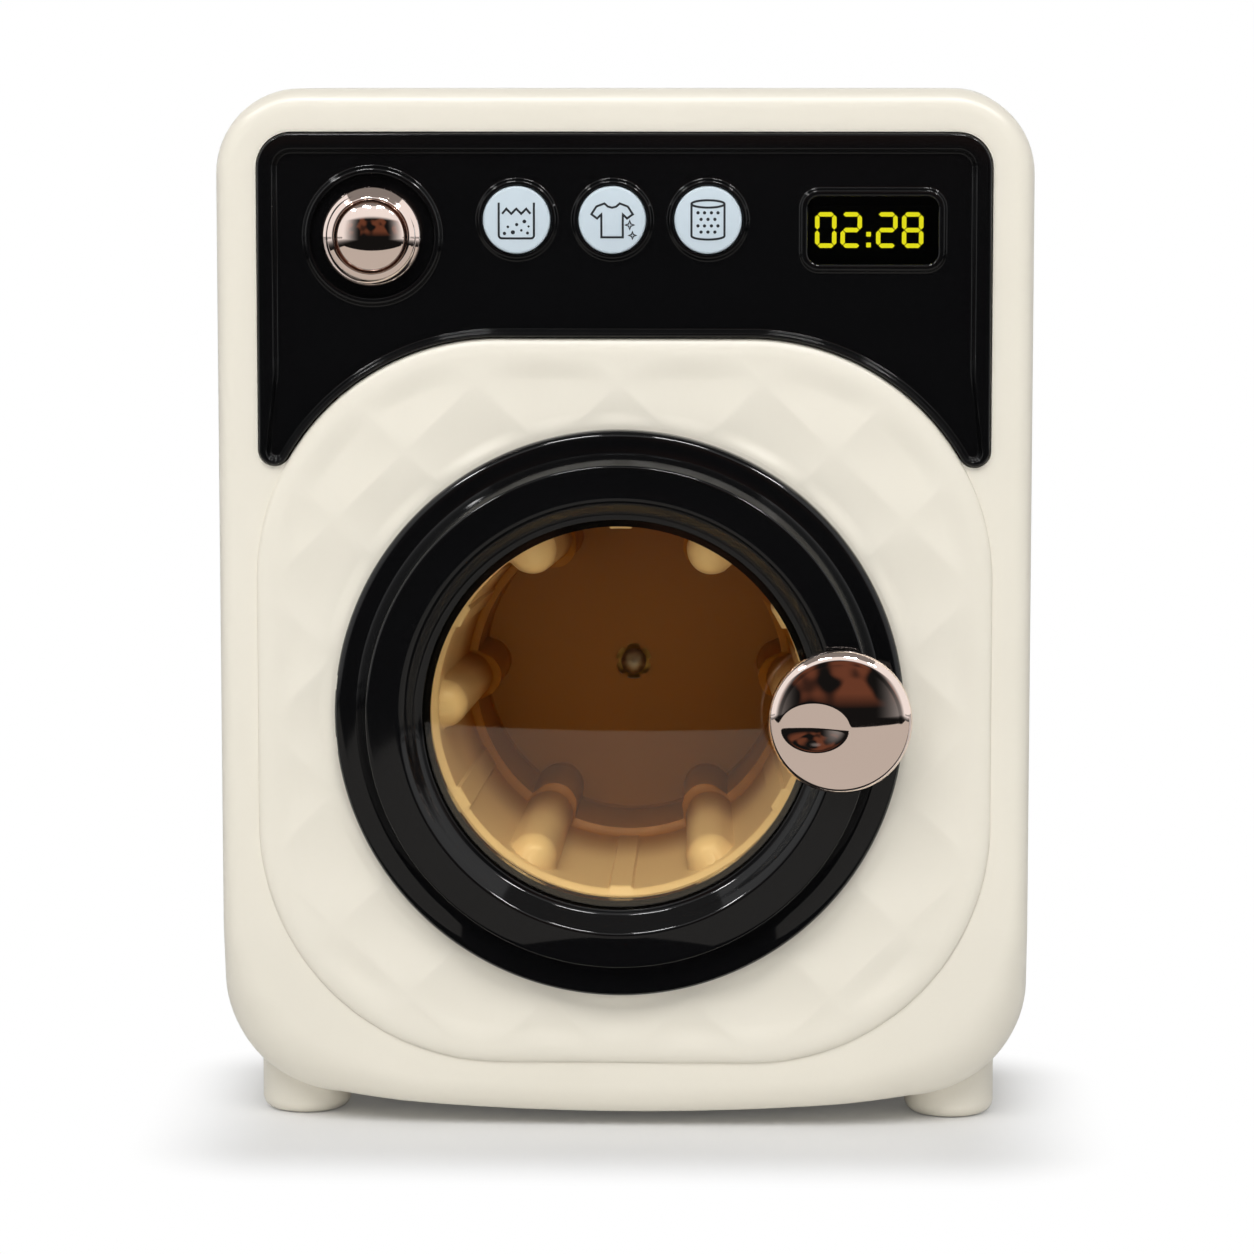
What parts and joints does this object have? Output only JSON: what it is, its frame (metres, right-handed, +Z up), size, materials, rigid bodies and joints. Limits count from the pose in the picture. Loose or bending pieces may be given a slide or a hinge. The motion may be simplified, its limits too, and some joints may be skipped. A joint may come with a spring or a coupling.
{
  "type": "toy washing machine",
  "caption": "Toy front-loading washing machine: round cream body, black fascia with knob, buttons and display, hinged porthole door and a drum that turns.",
  "frame": {"origin": "middle of the bounding box, on the surface that the feet stand on", "axes": "+X to the right seen from the front, the front faces -Y, +Z up"},
  "size_m": [0.216, 0.1918, 0.2765],
  "materials": {
    "cream_plastic": "moulded ABS, satin gloss",
    "black_plastic": "moulded ABS, high gloss",
    "rose_chrome": "rose-gold vacuum plating",
    "ice_plastic": "moulded, soft satin",
    "clear_window": "clear polystyrene, polished",
    "smoked_lens": "smoked acrylic, polished",
    "lit_segments": "lit segments",
    "display_black": "moulded, matt",
    "steel": "zinc plated",
    "brass": "machined",
    "board_green": "solder mask on laminate",
    "keypad_rubber": "moulded silicone",
    "dark_plastic": "moulded, matt",
    "pale_plastic": "moulded acetal",
    "speaker_black": "paper cone and pressed basket",
    "cell_wrap": "plain printed wrap",
    "lead_insulation": "PVC insulation"
  },
  "bodies": {
    "casing": {"front_shell": "cream_plastic", "rear_shell": "cream_plastic", "feet": "cream_plastic", "control_fascia": "black_plastic", "display_lens": "smoked_lens", "display_digits": "lit_segments", "display_module": "display_black", "shell_screws": "steel", "foot_screws": "steel", "fascia_screws": "steel", "board_screws": "steel", "latch_screws": "steel", "hinge_bracket": "steel", "hinge_screws": "steel", "hinge_pin": "steel", "tub_screws": "steel", "gearbox_screws": "steel", "idler_pin": "steel", "motor": "steel", "motor_retainer": "steel", "motor_screws": "steel", "speaker_screws": "steel", "battery_box_screws": "steel", "battery_contacts": "steel", "switch_screws": "steel", "drum_bush": "brass", "main_board": "board_green", "keypad": "keypad_rubber", "knob_switch": "dark_plastic", "battery_box": "dark_plastic", "gearbox_case": "dark_plastic", "gearbox_cover": "dark_plastic", "switch_body": "dark_plastic", "latch_catch": "pale_plastic", "tub": "pale_plastic", "speaker": "speaker_black", "battery_cells": "cell_wrap", "wire_harness": "lead_insulation"},
    "door": {"door_ring": "black_plastic", "door_back": "black_plastic", "door_window": "clear_window", "door_screws": "steel", "door_handle": "rose_chrome", "handle_screw": "steel", "latch_tongue": "pale_plastic"},
    "drum": {"drum": "cream_plastic", "drum_screw": "steel", "drum_shaft": "steel", "drum_gear": "pale_plastic"},
    "idler": {"idler_gear": "pale_plastic"},
    "motor_rotor": {"motor_pinion": "brass", "motor_shaft": "steel"},
    "knob": {"knob": "rose_chrome", "knob_shaft": "steel"},
    "button_wash": {"button_wash": "ice_plastic"},
    "button_clothes": {"button_clothes": "ice_plastic"},
    "button_drum": {"button_drum": "ice_plastic"},
    "power_slider": {"power_slider": "dark_plastic"},
    "battery_cover": {"battery_cover": "cream_plastic", "cover_screw": "steel"}
  },
  "joints": [
    {"name": "door_hinge", "type": "hinge", "parent": "casing", "child": "door", "pos_m": [-0.0705, -0.0769, 0.1128], "axis": [0, 0, -1], "range_deg": [0, 95]},
    {"name": "drum_spin", "type": "hinge", "parent": "casing", "child": "drum", "pos_m": [-0.001, -0.0121, 0.1128], "axis": [0, 1, 0], "continuous": true},
    {"name": "idler_spin", "type": "hinge", "parent": "casing", "child": "idler", "pos_m": [-0.02447, 0.0529, 0.12635], "axis": [0, 1, 0], "continuous": true},
    {"name": "pinion_spin", "type": "hinge", "parent": "casing", "child": "motor_rotor", "pos_m": [-0.04101, 0.0549, 0.12033], "axis": [0, 1, 0], "continuous": true},
    {"name": "knob_turn", "type": "hinge", "parent": "casing", "child": "knob", "pos_m": [-0.0658, -0.0721, 0.2381], "axis": [0, 1, 0], "continuous": true},
    {"name": "button_wash_press", "type": "slide", "parent": "casing", "child": "button_wash", "axis": [0, 1, 0], "range_m": [0, 0.0015], "stiffness_N_per_m": 400},
    {"name": "button_clothes_press", "type": "slide", "parent": "casing", "child": "button_clothes", "axis": [0, 1, 0], "range_m": [0, 0.0015], "stiffness_N_per_m": 400},
    {"name": "button_drum_press", "type": "slide", "parent": "casing", "child": "button_drum", "axis": [0, 1, 0], "range_m": [0, 0.0015], "stiffness_N_per_m": 400},
    {"name": "power_switch_slide", "type": "slide", "parent": "casing", "child": "power_slider", "axis": [1, 0, 0], "range_m": [0, 0.004]},
    {"name": "battery_cover_off", "type": "slide", "parent": "casing", "child": "battery_cover", "axis": [0, 1, 0], "range_m": [0, 0.02]}
  ],
  "couplings": [
    {"joint": "idler_spin", "follows": "drum_spin", "ratio": -2.8571},
    {"joint": "pinion_spin", "follows": "drum_spin", "ratio": 7.3469}
  ]
}
